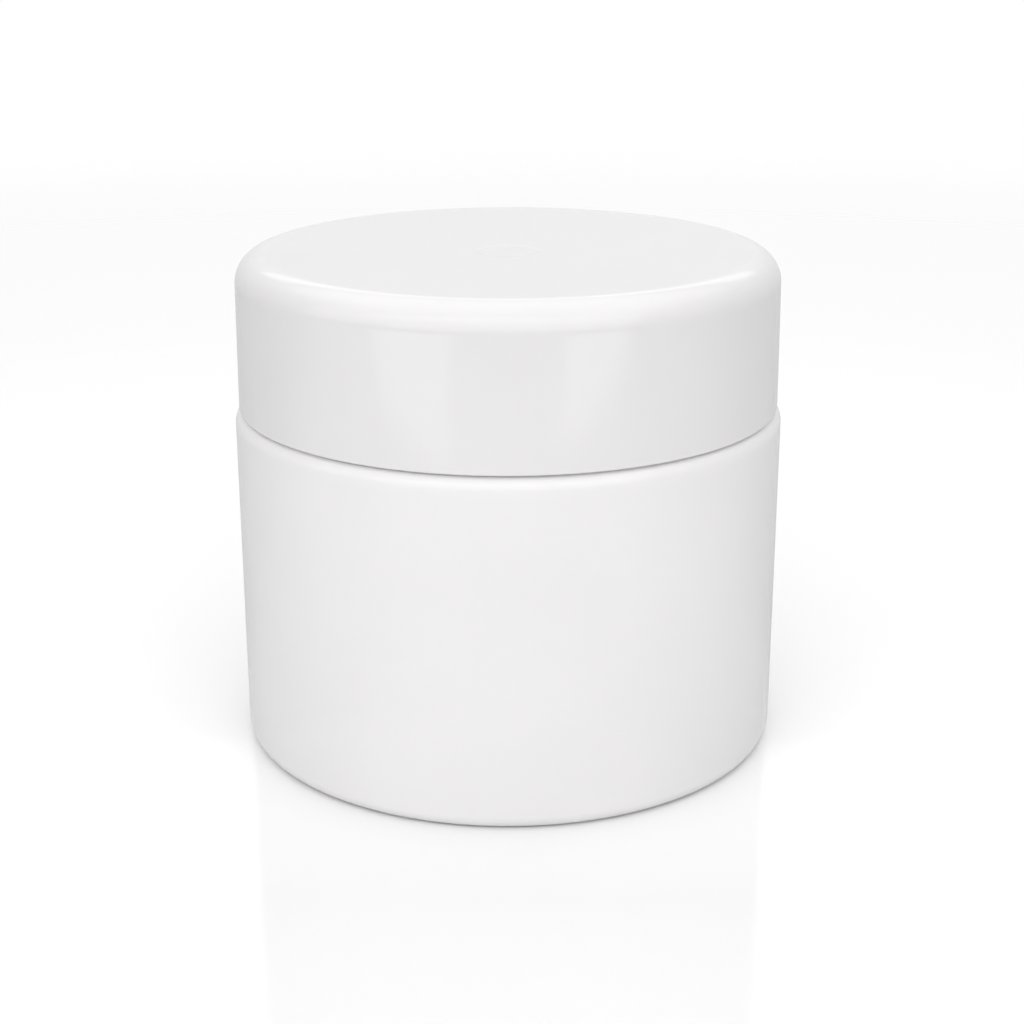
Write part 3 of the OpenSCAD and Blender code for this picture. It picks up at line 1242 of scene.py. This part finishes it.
@dataclass
class Studio:
    """Glossy pale floor, surround, soft panels and the camera."""

    floor_size: float = 1.2
    floor_fade: Pair = (0.2, 0.5)
    # Painted shade: the floor tone that the camera sees, darker in front of the jar and brighter beside and behind
    # it.
    floor_camera_tone_painted_shade: Pair = (0.845, 0.975)
    floor_bounce: Pair = (0.85, 0.55)
    floor_turn: Pair = (-0.03, 0.03)
    # Painted shade: the span along Y over which the camera's floor tone rises from the darker front to the
    # brighter sides and back.
    painted_shade_span: Pair = (-0.045, -0.01)
    floor_cloud: Pair = (0.99, 1.0)
    floor_gloss: Pair = (0.05, 0.07)
    floor_grain: float = 9.0
    floor_index: float = 1.5
    camera_place: Triple = (0.0053, -0.2094, 0.095)
    camera_turn: Triple = (71.58, -0.105, 1.34)
    lens: float = 66.4
    clip_start: float = 0.01
    card_brightness: float = 1.8
    left_card: tuple[Pair, ...] = (
        (-0.0615, -0.1622), (-0.0815, -0.1558), (-0.1237, -0.1499), (-0.16, -0.1445),
        (-0.2, -0.16), (-0.28, -0.23), (-0.115, -0.3),
    )
    right_card: tuple[Pair, ...] = (
        (0.046, -0.172), (0.0981, -0.1698), (0.1396, -0.1666), (0.191, -0.17),
        (0.27, -0.24), (0.125, -0.3), (0.088, -0.205), (0.068, -0.185),
    )

    def build(self) -> None:
        """Builds the floor, the surround, the lights and the camera."""
        self.floor()
        Surround().build()
        aim = (0.0, 0.0, 0.035)
        for light in (
            SoftPanel("overhead_panel", (0.0, 0.0, 1.0), aim, 2.2, 1.8, 0.44),
            SoftPanel("overhead_back_panel", (0.0, 0.1, 0.95), aim, 1.4, 0.8, 0.29),
            SoftPanel("overhead_right_panel", (0.6, -0.1, 0.75), aim, 0.5, 0.6, 0.3),
            SoftPanel("high_front_panel", (0.0, -0.75, 0.75), aim, 1.6, 0.35, 0.36),
            SoftPanel("wide_front_panel", (0.0, -0.8, 0.55), aim, 2.4, 0.9, 0.97),
            SoftPanel("left_panel", (-0.9, -0.3, 0.4), aim, 0.6, 0.6, 0.65),
            SoftPanel("right_panel", (0.9, -0.3, 0.4), aim, 0.6, 0.6, 0.21),
            SoftPanel("back_panel", (0.0, 1.0, 0.62), aim, 1.2, 0.25, 0.6),
            FloorCard("left_card", self.left_card, self.card_brightness),
            FloorCard("right_card", self.right_card, self.card_brightness),
        ):
            light.build()
        tilt, roll, heading = (math.radians(angle) for angle in self.camera_turn)
        turn = Matrix.Rotation(heading, 3, "Z") @ Matrix.Rotation(tilt, 3, "X") @ Matrix.Rotation(roll, 3, "Z")
        bpy.ops.object.camera_add(location=self.camera_place, rotation=turn.to_euler())
        camera = bpy.context.object
        camera.name = "studio_camera"
        camera.data.lens = self.lens
        camera.data.clip_start = self.clip_start
        bpy.context.scene.camera = camera
        bpy.context.scene.view_settings.view_transform = "Standard"

    def floor(self) -> None:
        """Adds the floor: pale and glossy, greyer to the jar than to the camera, with painted shade that darkens
        its tone to the camera in front of the jar and lightens it beside and behind, and fading into the surround.
        """
        clear_selection()
        bpy.ops.mesh.primitive_plane_add(size=self.floor_size)
        floor = bpy.context.object
        floor.name = "studio_floor"
        made, tree, shader = new_material("studio_floor_acrylic")
        place = tree.nodes.new("ShaderNodeTexCoord").outputs["Object"]
        seen = tree.nodes.new("ShaderNodeLightPath").outputs["Is Camera Ray"]
        grain = noise(tree, place, self.floor_grain, 2.0)
        along = tree.nodes.new("ShaderNodeSeparateXYZ")
        tree.links.new(place, along.inputs[0])
        bounce = ranged(tree, along.outputs["Y"], self.floor_turn, self.floor_bounce)
        # Painted shade: the tone the camera sees is darker in front of the jar, deepening its shadow and
        # reflection there, and brighter beside and behind it, washing out the cast shadow.
        painted_shade_tone = ranged(tree, along.outputs["Y"], self.painted_shade_span, self.floor_camera_tone_painted_shade)
        unseen = maths(tree, "MULTIPLY", maths(tree, "SUBTRACT", 1.0, seen), bounce)
        tone = maths(tree, "ADD", maths(tree, "MULTIPLY", seen, painted_shade_tone), unseen)
        tone = maths(tree, "MULTIPLY", tone, ranged(tree, grain, NOISE_SPAN, self.floor_cloud))
        colour = tree.nodes.new("ShaderNodeCombineColor")
        for channel in ("Red", "Green", "Blue"):
            tree.links.new(tone, colour.inputs[channel])
        tree.links.new(colour.outputs["Color"], shader.inputs["Base Color"])
        tree.links.new(ranged(tree, grain, NOISE_SPAN, self.floor_gloss), shader.inputs["Roughness"])
        away = tree.nodes.new("ShaderNodeVectorMath")
        away.operation = "LENGTH"
        tree.links.new(place, away.inputs[0])
        tree.links.new(ranged(tree, away.outputs["Value"], self.floor_fade, (1.0, 0.0)), shader.inputs["Alpha"])
        shader.inputs["IOR"].default_value = self.floor_index
        floor.data.materials.append(made)


def main() -> None:
    """Makes the finishes, then the jar, the seal and the lid, and last the studio."""
    groups = SurfaceGroups(skin_group(), cells_group())
    finishes = {
        "jar": MouldedPlastic("jar_gloss_plastic", colour=(0.845, 0.835, 0.837)).material(groups),
        "lid": MouldedPlastic("lid_gloss_plastic", colour=(0.79, 0.78, 0.782), gate_ring_mm=5.2).material(groups),
        "cup": MouldedPlastic("cup_satin_plastic", gloss=(0.2, 0.27)).material(groups),
        "insert": MouldedPlastic("insert_satin_plastic", gloss=(0.28, 0.36), grain_depth=0.1).material(groups),
        "liner": FoamWad("liner_foam").material(groups),
    }
    for name in ("disc", "tab"):
        soft = MouldedPlastic(f"{name}_soft_plastic", (0.8, 0.8, 0.785), gloss=(0.3, 0.4), grain_depth=0.12)
        finishes[name] = soft.material(groups)
    JarBody(finishes).build()
    Seal(finishes).build()
    ScrewLid(finishes).build()
    Studio().build()


if __name__ == "__main__":
    logging.basicConfig(level=logging.INFO, format="%(message)s")
    main()
